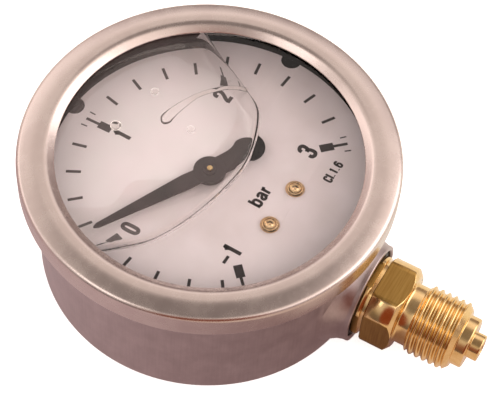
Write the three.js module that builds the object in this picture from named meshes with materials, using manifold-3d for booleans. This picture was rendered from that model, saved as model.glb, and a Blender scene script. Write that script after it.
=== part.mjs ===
// Liquid-filled pressure gauge, nominal size 63, bottom connection G 1/4 B, scale -1 to 3 bar.
// Millimetres. The gauge lies on its back: z = 0 is the back face, the dial looks along +Z,
// 12 o'clock is +Y, 3 o'clock is +X and the threaded connection points along -Y.

import * as THREE from 'three';
import { mergeVertices } from 'three/addons/utils/BufferGeometryUtils.js';
import Module from 'manifold-3d';

const wasm = await Module();
wasm.setup();

// ---------- driving dimensions ----------

// Case: a deep-drawn cup with a neck for the socket and a flange for the bezel.
const CASE_R = 31.2;
const CASE_WALL = 0.8;
const CASE_CORNER = 1.7;
const FLANGE_R = 32.9;
const FLANGE_Z = 25.4;
const FLANGE_TOP = 26.1;
const NECK_R = 9.45;
const NECK_BORE_R = 8.55;
const NECK_END = 33.8;
// The neck's flare into the wall: [added radius, distance from the dial axis].
const NECK_FLARE = [[3, 20], [3, 28], [1.9, 30], [0.6, 31.6], [0, 33]];
const PLUG_HOLE_R = 4.7;
const PLUG_Z = 13;

// Bezel: a sheet ring crimped under the case flange and rolled in over the window.
const BEZEL_R = 34;
const BEZEL_WALL = 0.7;
const BEZEL_LOW = 24.5;
const BEZEL_SHOULDER = 28.7;
const BEZEL_TOP = 30.3;
const BEZEL_OPENING_R = 27.3;
const BEZEL_CRIMP_R = 31.6;

// Window and its channel-shaped gasket.
const WINDOW_R = 31.2;
const WINDOW_Z = 27;
const WINDOW_TOP = 28.6;
const GASKET_INNER_R = 29;
const GASKET_R = 32.6;

// Socket, measured along its own axis outward from the dial axis.
const STEM_Z = 9.5;
const BLOCK_FROM = 10;
const BLOCK_TO = 24.3;
const BLOCK_HALF_WIDTH = 7;
const BLOCK_HALF_DEPTH = 5;
const SHOULDER_TO = 28.3;
const SHOULDER_HALF_WIDTH = 9.5;
const SHOULDER_HALF_DEPTH = 6.5;
const SHANK_R = 6.75;
const COLLAR_FROM = 33.5;
const COLLAR_TO = 34.6;
const COLLAR_CORNER_R = 7.6;
const GROOVE_R = 6.9;
const SQUARE_FROM = 35.3;
const SQUARE_TO = 41;
const SQUARE_FLATS = 14;
const SQUARE_CORNER_R = 8.1;
const UNDERCUT_R = 5.7;
const THREAD_R = 6.5785;
const THREAD_ROOT_R = 5.7225;
const THREAD_PITCH = 1.337;
const THREAD_FROM = 43.3;
const THREAD_TO = 51.9;
const NOSE_R = 4.75;
const NOSE_TO = 54;
const SPIGOT_R = 2.5;
const SPIGOT_TO = 56;
const PORT_R = 1.25;
const PORT_TO = 19.3;

// Bourdon tube: a flattened tube bent to an arc about the dial axis.
const TUBE_R = 21.5;
const TUBE_THICK = 3;
const TUBE_HEIGHT = 8;
const TUBE_WALL = 0.35;
const TUBE_ROOT = 247;
const TUBE_TIP = -10;
const FIT_GAP = 0.15;

// Movement: two plates, a toothed sector and the pinion that carries the pointer.
const BACK_PLATE_Z = 14.55;
const BACK_PLATE_TOP = 15.5;
const FRONT_PLATE_Z = 19.4;
const FRONT_PLATE_TOP = 20.2;
const MODULE = 0.25;
const PRESSURE_ANGLE = radians(20);
const BACKLASH = 0.05;
const PINION_TEETH = 12;
const SECTOR_TEETH = 108;
const SECTOR_HALF_TEETH = 6;
const PINION_ROOT_R = 1.25;
const PINION_TIP_R = 1.775;
const SECTOR_ROOT_R = 13.2;
const SECTOR_TIP_R = 13.675;
const CENTRE_DISTANCE = MODULE * (PINION_TEETH + SECTOR_TEETH) / 2;
const SECTOR_BEARING = radians(-34);
const SECTOR_Z = 17;
const SECTOR_TOP = 17.7;
const TAIL_ANGLE = radians(-22);
const TAIL_LENGTH = 4.8;
const PIVOT_R = 0.5;
const PIVOT_HOLE_R = 0.56;
const ARBOR_R = 0.75;
const LINK_Z = 17.95;
const LINK_TOP = 18.45;
const LINK_END = [19, -4.4];
const PILLARS = [[14.9, -4.1], [-0.5, -11.5], [-4.6, 4.6]];
const PILLAR_NAMES = ['right', 'lower', 'upper'];

// Dial and pointer.
const DIAL_R = 29.1;
const DIAL_Z = 21.1;
const DIAL_TOP = 21.5;
const DIAL_NOTCH_R = 1.9;
// The dial and its posts stand slightly turned from square, 1.8 degrees clockwise.
const DIAL_TURN = radians(-1.8);
const DIAL_POSTS = [turned(-4.5, -14.9, DIAL_TURN), turned(4.5, -14.9, DIAL_TURN)];
const POINTER_Z = 23;
const POINTER_TOP = 23.4;
const POINTER_LENGTH = 23.7;
const POINTER_TAIL = 11.1;
const PADDLE_R = 3.1;
const TAIL_HALF_WIDTH = 1.95;
const HUB_R = 2.95;

// The pointer stands just above 0.1 bar, measured anticlockwise from mid-scale at 12 o'clock.
const POINTER_REST = radians(61.2);
const SECTOR_REST = -POINTER_REST * PINION_TEETH / SECTOR_TEETH;

const ROUND = 60;
const SMALL_ROUND = 24;
const TINY_ROUND = 16;

// ---------- helpers ----------

function radians(degrees) {
  return degrees * Math.PI / 180;
}

function polar(radius, angle) {
  return [radius * Math.cos(angle), radius * Math.sin(angle)];
}

function turned(x, y, angle) {
  return [x * Math.cos(angle) - y * Math.sin(angle), x * Math.sin(angle) + y * Math.cos(angle)];
}

// Welds a geometry's shared corners and drops the triangles that collapse on an axis.
function weld(geometry) {
  const bare = geometry.clone();
  bare.deleteAttribute('normal');
  bare.deleteAttribute('uv');
  const welded = mergeVertices(bare, 1e-4);
  const corners = welded.index.array;
  const kept = [];
  for (let i = 0; i < corners.length; i += 3) {
    const [a, b, c] = corners.slice(i, i + 3);
    if (a !== b && b !== c && c !== a) kept.push(a, b, c);
  }
  return { points: Float32Array.from(welded.attributes.position.array), kept };
}

function toSolid(geometry) {
  const { points, kept } = weld(geometry);
  return new wasm.Manifold(new wasm.Mesh({
    numProp: 3,
    vertProperties: points,
    triVerts: Uint32Array.from(kept),
  }));
}

function toGeometry(solid) {
  const mesh = solid.getMesh();
  const geometry = new THREE.BufferGeometry();
  geometry.setAttribute('position', new THREE.BufferAttribute(mesh.vertProperties, 3));
  geometry.setIndex(new THREE.BufferAttribute(mesh.triVerts, 1));
  geometry.computeVertexNormals();
  return geometry;
}

function join(first, ...rest) {
  return toGeometry(rest.reduce((whole, next) => whole.add(toSolid(next)), toSolid(first)));
}

function cut(first, ...tools) {
  return toGeometry(tools.reduce((whole, tool) => whole.subtract(toSolid(tool)), toSolid(first)));
}

function common(first, second) {
  return toGeometry(toSolid(first).intersect(toSolid(second)));
}

// Turns a profile of [radius, height] points, listed with the outside going up, about +Z.
function revolve(profile, segments = ROUND) {
  const points = profile.map(([r, z]) => new THREE.Vector2(r, z));
  return new THREE.LatheGeometry(points, segments).rotateX(Math.PI / 2);
}

function ringProfile(inner, outer, low, high) {
  return [[inner, low], [outer, low], [outer, high], [inner, high], [inner, low]];
}

function rod(radius, low, high, segments = SMALL_ROUND) {
  return revolve([[0, low], [radius, low], [radius, high], [0, high]], segments);
}

function ring(inner, outer, low, high, segments = SMALL_ROUND) {
  return revolve(ringProfile(inner, outer, low, high), segments);
}

function box(x0, x1, y0, y1, z0, z1) {
  return new THREE.BoxGeometry(x1 - x0, y1 - y0, z1 - z0)
    .translate((x0 + x1) / 2, (y0 + y1) / 2, (z0 + z1) / 2);
}

function slab(shape, low, high, curveSegments = 8) {
  const settings = { depth: high - low, bevelEnabled: false, curveSegments };
  return new THREE.ExtrudeGeometry(shape, settings).translate(0, 0, low);
}

function outline(points) {
  return new THREE.Shape(points.map(([x, y]) => new THREE.Vector2(x, y)));
}

// Lays a piece modelled about +Z along the socket's axis: its +Z becomes the way out, -Y.
function alongStem(geometry) {
  return geometry.rotateX(Math.PI / 2).translate(0, 0, STEM_Z);
}

function arcPoints(centre, radius, from, to, count) {
  const points = [];
  for (let i = 0; i <= count; i += 1) {
    const [x, y] = polar(radius, from + (to - from) * i / count);
    points.push([centre[0] + x, centre[1] + y]);
  }
  return points;
}

// A convex plate outline: the hull of round corners of one radius about the given centres,
// which are listed anticlockwise.
function roundedHull(centres, radius) {
  const points = [];
  centres.forEach((centre, i) => {
    const before = centres[(i + centres.length - 1) % centres.length];
    const after = centres[(i + 1) % centres.length];
    const from = Math.atan2(centre[1] - before[1], centre[0] - before[0]) - Math.PI / 2;
    let to = Math.atan2(after[1] - centre[1], after[0] - centre[0]) - Math.PI / 2;
    if (to < from) to += 2 * Math.PI;
    points.push(...arcPoints(centre, radius, from, to, 4));
  });
  return outline(points);
}

// ---------- case, bezel and window ----------

function caseShell() {
  const corner = arcPoints([CASE_R - CASE_CORNER, CASE_CORNER], CASE_CORNER, -Math.PI / 2, 0, 4);
  const outside = revolve([
    [0, 0], ...corner, [CASE_R, FLANGE_Z], [FLANGE_R, FLANGE_Z], [FLANGE_R, FLANGE_TOP], [0, FLANGE_TOP],
  ]);
  const flare = NECK_FLARE.map(([extra, along]) => [NECK_R + extra, along]);
  const start = NECK_FLARE[0][1];
  const neck = alongStem(revolve([[0, start], ...flare, [NECK_R, NECK_END], [0, NECK_END]], 36));
  const aboveBack = box(-40, 40, -40, 40, 0, 40);
  const inner = CASE_R - CASE_WALL;
  const hollow = revolve([
    [0, CASE_WALL], [inner - 1, CASE_WALL], [inner, CASE_WALL + 1], [inner, 40], [0, 40],
  ]);
  const neckBore = alongStem(rod(NECK_BORE_R, start, NECK_END + 1, 36));
  const plugHole = rod(PLUG_HOLE_R, 26, 40).rotateX(-Math.PI / 2).translate(0, 0, PLUG_Z);
  return cut(join(outside, common(neck, aboveBack)), hollow, neckBore, plugHole);
}

function bezelRing() {
  const shoulder = arcPoints([BEZEL_R - 1.2, BEZEL_SHOULDER], 1.2, 0, Math.PI / 2, 3);
  const inside = BEZEL_R - BEZEL_WALL;
  const under = BEZEL_TOP - BEZEL_WALL;
  const lip = BEZEL_TOP - 1.4;
  return revolve([
    [BEZEL_CRIMP_R, BEZEL_LOW], [BEZEL_R - 0.5, BEZEL_LOW], [BEZEL_R, BEZEL_LOW + 0.5], ...shoulder,
    [31, BEZEL_TOP], [29, BEZEL_TOP - 0.15], [27.8, BEZEL_TOP - 0.95], [BEZEL_OPENING_R, lip],
    [27.9, lip], [28.7, under - 0.15], [32.6, under - 0.35], [inside, BEZEL_SHOULDER],
    [inside, BEZEL_LOW + BEZEL_WALL], [BEZEL_CRIMP_R, BEZEL_LOW + BEZEL_WALL], [BEZEL_CRIMP_R, BEZEL_LOW],
  ]);
}

function windowDisc() {
  return rod(WINDOW_R, WINDOW_Z, WINDOW_TOP, ROUND);
}

// The gasket is a channel that wraps the window's rim.
function windowGasket() {
  const lip = WINDOW_TOP + 0.3;
  const web = WINDOW_R + 0.3;
  const floor = FLANGE_TOP + 0.05;
  return revolve([
    [GASKET_INNER_R, floor], [GASKET_R, floor], [GASKET_R, lip + 0.2], [29.4, lip + 0.2],
    [29.4, lip], [web, lip], [web, WINDOW_Z - 0.3], [GASKET_INNER_R, WINDOW_Z - 0.3], [GASKET_INNER_R, floor],
  ]);
}

function fillPlug() {
  const inside = CASE_R - CASE_WALL;
  return revolve([
    [0, inside - 2.2], [5.2, inside - 2.2], [5.6, inside - 1.8], [5.6, inside - 1], [4.4, inside - 0.9],
    [4.4, CASE_R + 0.1], [5.9, CASE_R + 0.1], [5.9, CASE_R + 0.9], [5.2, CASE_R + 1.5], [0, CASE_R + 1.6],
  ], SMALL_ROUND).rotateX(-Math.PI / 2).translate(0, 0, PLUG_Z);
}

// ---------- socket ----------

// A square bar whose corners are turned down, as they are on a wrench square.
function squareBar(from, to, cornerR, nearChamfer, farChamfer) {
  const half = SQUARE_FLATS / 2;
  const steepness = 1.15;
  const turned = revolve([
    [0, from], [cornerR - nearChamfer, from], [cornerR, from + nearChamfer * steepness],
    [cornerR, to - farChamfer * steepness], [cornerR - farChamfer, to], [0, to],
  ], 32);
  return common(turned, box(-half, half, -half, half, from, to));
}

function threadedEnd() {
  const profile = [[0, SQUARE_TO - 1], [UNDERCUT_R, SQUARE_TO - 1], [UNDERCUT_R, THREAD_FROM]];
  const crests = Math.floor((THREAD_TO - THREAD_FROM) / THREAD_PITCH);
  for (let i = 0; i < crests; i += 1) {
    const start = THREAD_FROM + i * THREAD_PITCH;
    profile.push([THREAD_R, start + THREAD_PITCH * 0.4]);
    profile.push([THREAD_R, start + THREAD_PITCH * 0.6]);
    profile.push([THREAD_ROOT_R, start + THREAD_PITCH]);
  }
  profile.push([THREAD_ROOT_R, THREAD_TO - 0.3], [NOSE_R, THREAD_TO], [NOSE_R, NOSE_TO - 0.4]);
  profile.push([NOSE_R - 0.4, NOSE_TO], [SPIGOT_R, NOSE_TO], [SPIGOT_R, SPIGOT_TO - 0.3]);
  profile.push([SPIGOT_R - 0.3, SPIGOT_TO], [0, SPIGOT_TO]);
  return revolve(profile, SMALL_ROUND);
}

function socket() {
  const shoulder = box(
    -SHOULDER_HALF_WIDTH, SHOULDER_HALF_WIDTH, -SHOULDER_HALF_DEPTH, SHOULDER_HALF_DEPTH,
    BLOCK_TO, SHOULDER_TO,
  );
  const block = box(
    -BLOCK_HALF_WIDTH, BLOCK_HALF_WIDTH, -BLOCK_HALF_DEPTH, BLOCK_HALF_DEPTH,
    BLOCK_FROM, BLOCK_TO + 1,
  );
  const outer = join(
    shoulder,
    block,
    rod(SHANK_R, SHOULDER_TO - 1, COLLAR_FROM + 0.5, 32),
    squareBar(COLLAR_FROM, COLLAR_TO, COLLAR_CORNER_R, 0.15, 0.15),
    rod(GROOVE_R, COLLAR_TO - 0.5, SQUARE_FROM + 0.5, 32),
    squareBar(SQUARE_FROM, SQUARE_TO, SQUARE_CORNER_R, 0.3, 0.9),
    threadedEnd(),
  );
  const port = rod(PORT_R, PORT_TO, SPIGOT_TO + 1, TINY_ROUND);
  const placed = alongStem(cut(outer, port));
  const crossPort = rod(1, -5, 0.5, TINY_ROUND).rotateY(Math.PI / 2).translate(0, -20.3, STEM_Z);
  const posts = DIAL_POSTS.map(([x, y]) => rod(1, 11, 20, TINY_ROUND).translate(x, y, 0));
  return cut(placed, crossPort, tubeSlot(), ...posts);
}

function restrictor() {
  return alongStem(ring(0.35, PORT_R - 0.06, 46, 50, TINY_ROUND));
}

function socketSeal() {
  return alongStem(ring(SHANK_R + 0.1, NECK_BORE_R - 0.12, 29.6, NECK_END - 0.5, 36));
}

// ---------- bourdon tube ----------

// An arc about the dial axis at the socket's height, run clockwise by falling angles.
class TubeArc extends THREE.Curve {
  constructor(from, to) {
    super();
    this.from = radians(from);
    this.to = radians(to);
  }

  getPoint(t, target = new THREE.Vector3()) {
    const [x, y] = polar(TUBE_R, this.from + (this.to - this.from) * t);
    return target.set(x, y, STEM_Z);
  }
}

function ovalSection(height, thick) {
  const half = height / 2 - thick / 2;
  return [
    ...arcPoints([half, 0], thick / 2, -Math.PI / 2, Math.PI / 2, 4),
    ...arcPoints([-half, 0], thick / 2, Math.PI / 2, Math.PI * 1.5, 4),
  ];
}

function sweepArc(section, from, to, steps) {
  const settings = { steps, bevelEnabled: false, extrudePath: new TubeArc(from, to) };
  return new THREE.ExtrudeGeometry(section, settings);
}

function bourdonTube() {
  const section = outline(ovalSection(TUBE_HEIGHT, TUBE_THICK));
  const inner = ovalSection(TUBE_HEIGHT - 2 * TUBE_WALL, TUBE_THICK - 2 * TUBE_WALL);
  section.holes.push(new THREE.Path(inner.map(([x, y]) => new THREE.Vector2(x, y))));
  return sweepArc(section, TUBE_ROOT, TUBE_TIP, 30);
}

// The slot in the block that the tube's root is brazed into.
function tubeSlot() {
  const section = outline(ovalSection(TUBE_HEIGHT + 2 * FIT_GAP, TUBE_THICK + 2 * FIT_GAP));
  return sweepArc(section, TUBE_ROOT - 14, TUBE_ROOT + 0.7, 3);
}

// A cap that closes the tube's free end, with a raised ear for the link.
function tubeEnd() {
  const gap = 0.4;
  const cap = sweepArc(outline(ovalSection(TUBE_HEIGHT + 0.4, TUBE_THICK + 0.6)), TUBE_TIP - gap, -17, 2);
  const [x, y] = LINK_END;
  const [foot, side] = [x + 1.5, y - 0.3];
  const strip = box(foot - 0.5, foot + 0.5, side - 0.9, side + 0.9, STEM_Z + 2, SECTOR_TOP);
  const ear = slab(roundedHull([[foot, side], [x, y]], 1.15), SECTOR_Z, SECTOR_TOP);
  const hole = rod(PIVOT_R + 0.03, SECTOR_Z - 1, SECTOR_TOP + 1, TINY_ROUND).translate(x, y, 0);
  return cut(join(cap, strip, ear), hole);
}

// ---------- movement ----------

function platePoints() {
  return [DIAL_POSTS[0], DIAL_POSTS[1], sectorCentre(), PILLARS[0], PILLARS[2]];
}

function sectorCentre() {
  return polar(CENTRE_DISTANCE, SECTOR_BEARING);
}

function plate(centres, low, high, holes) {
  const tools = holes.map(([x, y, r]) => rod(r, low - 1, high + 1, TINY_ROUND).translate(x, y, 0));
  return cut(slab(roundedHull(centres, 2.4), low, high), ...tools);
}

function backPlate() {
  const holes = [
    [0, 0, PIVOT_HOLE_R], [...sectorCentre(), PIVOT_HOLE_R],
    ...PILLARS.map((at) => [...at, 0.8]), ...DIAL_POSTS.map((at) => [...at, 1]),
  ];
  return plate(platePoints(), BACK_PLATE_Z, BACK_PLATE_TOP, holes);
}

function frontPlate() {
  const holes = [
    [0, 0, ARBOR_R + 0.06], [...sectorCentre(), PIVOT_HOLE_R], ...PILLARS.map((at) => [...at, 0.7]),
  ];
  const centres = [PILLARS[1], sectorCentre(), PILLARS[0], PILLARS[2]];
  return plate(centres, FRONT_PLATE_Z, FRONT_PLATE_TOP, holes);
}

function pillar() {
  const foot = BACK_PLATE_TOP + 0.03;
  const top = FRONT_PLATE_Z - 0.03;
  return revolve([
    [0, BACK_PLATE_Z + 0.05], [0.7, BACK_PLATE_Z + 0.05], [0.7, foot], [1.1, foot], [1.1, top],
    [0.6, top], [0.6, top - 1.8], [0, top - 1.8],
  ], TINY_ROUND);
}

// A cheese-head screw, head up, with a slot across it.
function screw(headR, shankR, seat, headHeight, shankLength) {
  const body = revolve([
    [0, seat - shankLength], [shankR, seat - shankLength], [shankR, seat], [headR, seat],
    [headR, seat + headHeight], [0, seat + headHeight],
  ], SMALL_ROUND);
  const slot = box(-headR - 1, headR + 1, -0.2, 0.2, seat + headHeight / 2, seat + headHeight + 1);
  return cut(body, slot);
}

function dialPost() {
  const foot = BACK_PLATE_TOP + 0.03;
  const top = DIAL_Z - 0.05;
  return revolve([
    [0, 11.6], [0.9, 11.6], [0.9, foot], [1.7, foot], [1.7, top], [0.85, top], [0.85, top - 3.6], [0, top - 3.6],
  ], SMALL_ROUND);
}

// Involute flank: the half angle of a tooth at radius r.
function halfTooth(teeth, radius) {
  const pitch = MODULE * teeth / 2;
  const base = pitch * Math.cos(PRESSURE_ANGLE);
  const involute = (angle) => Math.tan(angle) - angle;
  const at = involute(Math.acos(Math.min(1, base / radius)));
  return Math.PI / (2 * teeth) - BACKLASH / (2 * pitch) + involute(PRESSURE_ANGLE) - at;
}

function toothPoints(teeth, root, tip, centre) {
  const base = MODULE * teeth / 2 * Math.cos(PRESSURE_ANGLE);
  const start = Math.max(root, base);
  const levels = [root, start, (start + tip) / 2, tip].filter((r, i, all) => i === 0 || r > all[i - 1]);
  const rising = levels.map((r) => polar(r, centre - halfTooth(teeth, Math.max(r, base))));
  const falling = levels.map((r) => polar(r, centre + halfTooth(teeth, Math.max(r, base)))).reverse();
  return [...rising, ...falling];
}

// Built at mid-scale, where a gap between two teeth faces the sector.
function pinionArbor() {
  const points = [];
  for (let i = 0; i < PINION_TEETH; i += 1) {
    const centre = SECTOR_BEARING + (i + 0.5) * 2 * Math.PI / PINION_TEETH;
    points.push(...toothPoints(PINION_TEETH, PINION_ROOT_R, PINION_TIP_R, centre));
  }
  const teeth = slab(outline(points), 16.6, 18.1);
  const shaft = revolve([
    [0, BACK_PLATE_Z], [PIVOT_R, BACK_PLATE_Z], [PIVOT_R, BACK_PLATE_TOP + 0.1],
    [ARBOR_R, BACK_PLATE_TOP + 0.1], [ARBOR_R, 22.6], [PIVOT_R, 22.7], [PIVOT_R, 24.1], [0, 24.1],
  ], TINY_ROUND);
  return join(shaft, teeth);
}

// Modelled about its own arbor, with the toothed arm along +X.
function sectorGear() {
  const step = 2 * Math.PI / SECTOR_TEETH;
  const rim = [];
  for (let i = -SECTOR_HALF_TEETH; i <= SECTOR_HALF_TEETH; i += 1) {
    rim.push(...toothPoints(SECTOR_TEETH, SECTOR_ROOT_R, SECTOR_TIP_R, i * step));
  }
  const edge = (SECTOR_HALF_TEETH + 0.5) * step;
  const hub = 2.2;
  const arm = outline([
    polar(hub, -0.9), polar(SECTOR_ROOT_R, -edge), ...rim, polar(SECTOR_ROOT_R, edge), polar(hub, 0.9),
  ]);
  const tail = TAIL_ANGLE - SECTOR_BEARING - Math.PI;
  const [tx, ty] = polar(TAIL_LENGTH, tail);
  const tailBar = slab(roundedHull([[0, 0], [tx, ty]], 1.25), SECTOR_Z, SECTOR_TOP);
  const gear = join(slab(arm, SECTOR_Z, SECTOR_TOP), rod(hub, SECTOR_Z, SECTOR_TOP), tailBar);
  const inner = edge - 0.17;
  const opening = outline([
    ...arcPoints([0, 0], 11.6, -inner, inner, 6), ...arcPoints([0, 0], 4.6, inner * 0.55, -inner * 0.55, 2),
  ]);
  return cut(
    gear,
    slab(opening, SECTOR_Z - 1, SECTOR_TOP + 1),
    rod(ARBOR_R + 0.05, SECTOR_Z - 1, SECTOR_TOP + 1, TINY_ROUND),
    rod(PIVOT_R + 0.03, SECTOR_Z - 1, SECTOR_TOP + 1, TINY_ROUND).translate(tx, ty, 0),
  );
}

function sectorArbor() {
  return revolve([
    [0, BACK_PLATE_Z], [PIVOT_R, BACK_PLATE_Z], [PIVOT_R, BACK_PLATE_TOP + 0.1],
    [ARBOR_R, BACK_PLATE_TOP + 0.1], [ARBOR_R, FRONT_PLATE_Z - 0.1], [PIVOT_R, FRONT_PLATE_Z - 0.1],
    [PIVOT_R, FRONT_PLATE_TOP], [0, FRONT_PLATE_TOP],
  ], TINY_ROUND);
}

// A shouldered rivet that stands in the ear or the tail and carries the link.
function linkPin() {
  return revolve([
    [0, SECTOR_Z], [PIVOT_R - 0.05, SECTOR_Z], [PIVOT_R - 0.05, LINK_TOP + 0.1], [0.95, LINK_TOP + 0.1],
    [0.95, LINK_TOP + 0.4], [0, LINK_TOP + 0.4],
  ], TINY_ROUND);
}

// Modelled about its tip-side pin, pointing at the sector's tail along +X.
function link(length) {
  return cut(
    slab(roundedHull([[0, 0], [length, 0]], 1.15), LINK_Z, LINK_TOP),
    rod(PIVOT_HOLE_R, LINK_Z - 1, LINK_TOP + 1, TINY_ROUND),
    rod(PIVOT_R + 0.3, LINK_Z - 1, LINK_TOP + 1, TINY_ROUND).translate(length, 0, 0),
  );
}

// The hairspring takes up the backlash: inner end on the collet, outer end at the stud.
function hairspring() {
  const turns = 3.5;
  const steps = 56;
  const side = (offset) => Array.from({ length: steps + 1 }, (_, i) => {
    const share = i / steps;
    return polar(1.7 + 2.6 * share + offset, share * turns * 2 * Math.PI);
  });
  return slab(outline([...side(0.06), ...side(-0.06).reverse()]), 18.5, 19);
}

function springStud() {
  return rod(0.45, 18.4, FRONT_PLATE_Z - 0.05, TINY_ROUND).translate(-4.95, 0, 0);
}

function springCollet() {
  return ring(ARBOR_R + 0.05, 1.55, 18.35, 19.15, TINY_ROUND);
}

// ---------- dial and pointer ----------

function dial() {
  const notches = [0, 1, 2, 3].map((quarter) => {
    const [x, y] = polar(DIAL_R, quarter * Math.PI / 2 + DIAL_TURN);
    return rod(DIAL_NOTCH_R, DIAL_Z - 1, DIAL_TOP + 1).translate(x, y, 0);
  });
  const holes = DIAL_POSTS.map(([x, y]) => rod(1, DIAL_Z - 1, DIAL_TOP + 1, TINY_ROUND).translate(x, y, 0));
  const centre = rod(1.6, DIAL_Z - 1, DIAL_TOP + 1, TINY_ROUND);
  return cut(rod(DIAL_R, DIAL_Z, DIAL_TOP, ROUND), centre, ...notches, ...holes);
}

function dialScrew() {
  const seat = DIAL_TOP + 0.03;
  return revolve([
    [0, seat - 3.2], [0.8, seat - 3.2], [0.8, seat], [1.75, seat], [1.75, seat + 0.45], [1.5, seat + 0.7],
    [1.2, seat + 0.7], [0.9, seat + 0.35], [0.35, seat + 0.3], [0, seat + 0.45],
  ], SMALL_ROUND);
}

// The blade points along +Y and the counterweight tail along -Y.
function pointer() {
  const blade = outline([
    [-1.45, 2], [-1.6, 5], [-0.5, POINTER_LENGTH - 0.9], [0, POINTER_LENGTH],
    [0.5, POINTER_LENGTH - 0.9], [1.6, 5], [1.45, 2],
  ]);
  const paddle = arcPoints([0, PADDLE_R - POINTER_TAIL], PADDLE_R, radians(-190), radians(10), 10);
  const neck = PADDLE_R - POINTER_TAIL + 2.4;
  const tail = outline([
    [-TAIL_HALF_WIDTH, -2], [-TAIL_HALF_WIDTH, neck], ...paddle, [TAIL_HALF_WIDTH, neck], [TAIL_HALF_WIDTH, -2],
  ]);
  const flat = join(slab(blade, POINTER_Z, POINTER_TOP), slab(tail, POINTER_Z, POINTER_TOP),
    rod(HUB_R, POINTER_Z - 0.3, POINTER_TOP + 0.1, 36));
  return cut(flat, rod(1.35, 20, 25, SMALL_ROUND));
}

function pointerBush() {
  const low = POINTER_Z - 0.35;
  return revolve([
    [PIVOT_R + 0.06, low + 0.2], [1.25, low + 0.2], [1.25, POINTER_TOP + 0.15], [1.05, POINTER_TOP + 0.35],
    [PIVOT_R + 0.06, POINTER_TOP + 0.35], [PIVOT_R + 0.06, low + 0.2],
  ], TINY_ROUND);
}

// ---------- finishes ----------

const FINISHES = {
  steel: { color: 0xb9aca6, roughness: 0.35, metalness: 1 },
  brass: { color: 0xc79a4e, roughness: 0.32, metalness: 1 },
  bronze: { color: 0xb98a5e, roughness: 0.4, metalness: 1 },
  spring: { color: 0x9fa4ab, roughness: 0.3, metalness: 1 },
  white: { color: 0xe6dcdb, roughness: 0.6, metalness: 0 },
  black: { color: 0x1d1a1a, roughness: 0.55, metalness: 0 },
  rubber: { color: 0x241f1f, roughness: 0.85, metalness: 0 },
  glass: { color: 0xf2f4f4, roughness: 0.05, metalness: 0, transparent: true, opacity: 0.25 },
};

function part(name, finish, geometry) {
  const mesh = new THREE.Mesh(geometry, new THREE.MeshStandardMaterial(FINISHES[finish]));
  mesh.name = name;
  return mesh;
}

function groupAt(x, y, turn, ...children) {
  const group = new THREE.Group();
  group.position.set(x, y, 0);
  group.rotation.z = turn;
  group.add(...children);
  return group;
}

// ---------- assembly ----------

const group = new THREE.Group();

group.add(
  part('case', 'steel', caseShell()),
  part('bezel_ring', 'steel', bezelRing()),
  part('window', 'glass', windowDisc()),
  part('window_gasket', 'rubber', windowGasket()),
  part('fill_plug', 'rubber', fillPlug()),
  part('socket', 'brass', socket()),
  part('socket_seal', 'rubber', socketSeal()),
  part('restrictor', 'brass', restrictor()),
  part('bourdon_tube', 'bronze', bourdonTube()),
  part('back_plate', 'brass', backPlate()),
  part('front_plate', 'brass', frontPlate()),
  part('hairspring', 'spring', hairspring()),
  part('hairspring_stud', 'brass', springStud()),
  part('dial', 'white', dial()),
);

PILLARS.forEach(([x, y], i) => {
  group.add(groupAt(x, y, 0,
    part(`pillar_${PILLAR_NAMES[i]}`, 'brass', pillar()),
    part(`plate_screw_${PILLAR_NAMES[i]}`, 'brass', screw(1.25, 0.5, FRONT_PLATE_TOP + 0.03, 0.6, 2.4))));
});

DIAL_POSTS.forEach(([x, y], i) => {
  const side = ['left', 'right'][i];
  group.add(groupAt(x, y, 0,
    part(`dial_post_${side}`, 'brass', dialPost()),
    part(`dial_screw_${side}`, 'brass', dialScrew())));
});

group.add(groupAt(0, 0, POINTER_REST,
  part('pinion_arbor', 'spring', pinionArbor()),
  part('hairspring_collet', 'brass', springCollet()),
  part('pointer', 'black', pointer()),
  part('pointer_bush', 'brass', pointerBush())));

const [sectorX, sectorY] = sectorCentre();
const armTurn = SECTOR_BEARING + Math.PI + SECTOR_REST;
const tailTurn = TAIL_ANGLE + SECTOR_REST;
const [tailX, tailY] = polar(TAIL_LENGTH, tailTurn);
group.add(groupAt(sectorX, sectorY, armTurn,
  part('sector_gear', 'brass', sectorGear()),
  part('sector_arbor', 'spring', sectorArbor())));
group.add(groupAt(sectorX + tailX, sectorY + tailY, 0, part('tail_pin', 'spring', linkPin())));

const reachX = sectorX + tailX - LINK_END[0];
const reachY = sectorY + tailY - LINK_END[1];
const linkLength = Math.hypot(reachX, reachY);
group.add(part('tube_end', 'brass', tubeEnd()));
group.add(groupAt(LINK_END[0], LINK_END[1], Math.atan2(reachY, reachX),
  part('link', 'spring', link(linkLength)),
  part('tip_pin', 'spring', linkPin())));

export default group;
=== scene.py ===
"""Liquid-filled pressure gauge lying on its back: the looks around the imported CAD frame.

Shapes are written in millimetres in the CAD's own frame (z = 0 is the back face, the dial looks
along +Z, 12 o'clock is +Y, the connection points along -Y) and turned into metres by build().
"""

import math

import bmesh
import bpy
from mathutils import Matrix, Vector


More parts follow.
